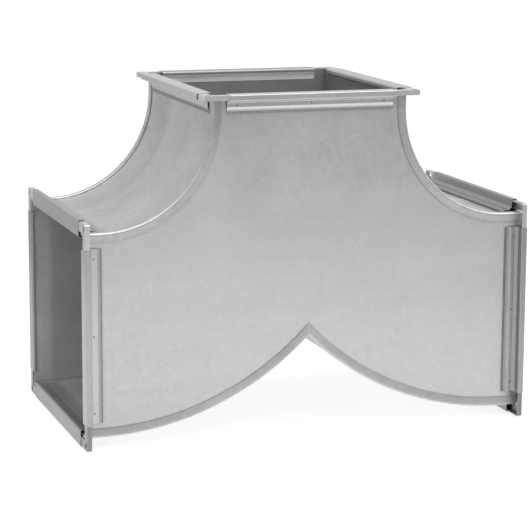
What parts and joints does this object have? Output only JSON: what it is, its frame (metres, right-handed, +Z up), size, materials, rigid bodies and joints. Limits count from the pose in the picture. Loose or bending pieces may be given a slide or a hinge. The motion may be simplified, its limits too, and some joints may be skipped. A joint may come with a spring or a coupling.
{
  "type": "duct branch fitting",
  "caption": "Rectangular sheet-steel duct branch: the top opening parts through curved legs into left and right openings, each ringed by slide-on flange rails and corner pieces.",
  "frame": {"origin": "middle of the footprint, on the plane that the lower edges of the side flanges stand on", "axes": "+X from the left opening to the right one, -Y the front, +Z up through the top opening"},
  "size_m": [0.7016, 0.3916, 0.5216],
  "materials": {
    "side_sheet": "galvanised, fine spangle, satin",
    "wrap_sheet": "galvanised, fine spangle, satin",
    "rail_zinc": "galvanised and roll-formed, satin",
    "corner_zinc": "zinc-plated pressing, satin"
  },
  "bodies": {
    "root": {"cheek_front": "side_sheet", "cheek_rear": "side_sheet", "throat_left": "wrap_sheet", "throat_right": "wrap_sheet", "heel_left": "wrap_sheet", "heel_right": "wrap_sheet", "top_rail_front": "rail_zinc", "top_rail_rear": "rail_zinc", "top_rail_left": "rail_zinc", "top_rail_right": "rail_zinc", "left_rail_front": "rail_zinc", "left_rail_rear": "rail_zinc", "left_rail_top": "rail_zinc", "left_rail_bottom": "rail_zinc", "right_rail_front": "rail_zinc", "right_rail_rear": "rail_zinc", "right_rail_top": "rail_zinc", "right_rail_bottom": "rail_zinc", "top_corner_front_left": "corner_zinc", "top_corner_front_right": "corner_zinc", "top_corner_rear_left": "corner_zinc", "top_corner_rear_right": "corner_zinc", "left_corner_front_top": "corner_zinc", "left_corner_front_bottom": "corner_zinc", "left_corner_rear_top": "corner_zinc", "left_corner_rear_bottom": "corner_zinc", "right_corner_front_top": "corner_zinc", "right_corner_front_bottom": "corner_zinc", "right_corner_rear_top": "corner_zinc", "right_corner_rear_bottom": "corner_zinc"}
  },
  "joints": []
}
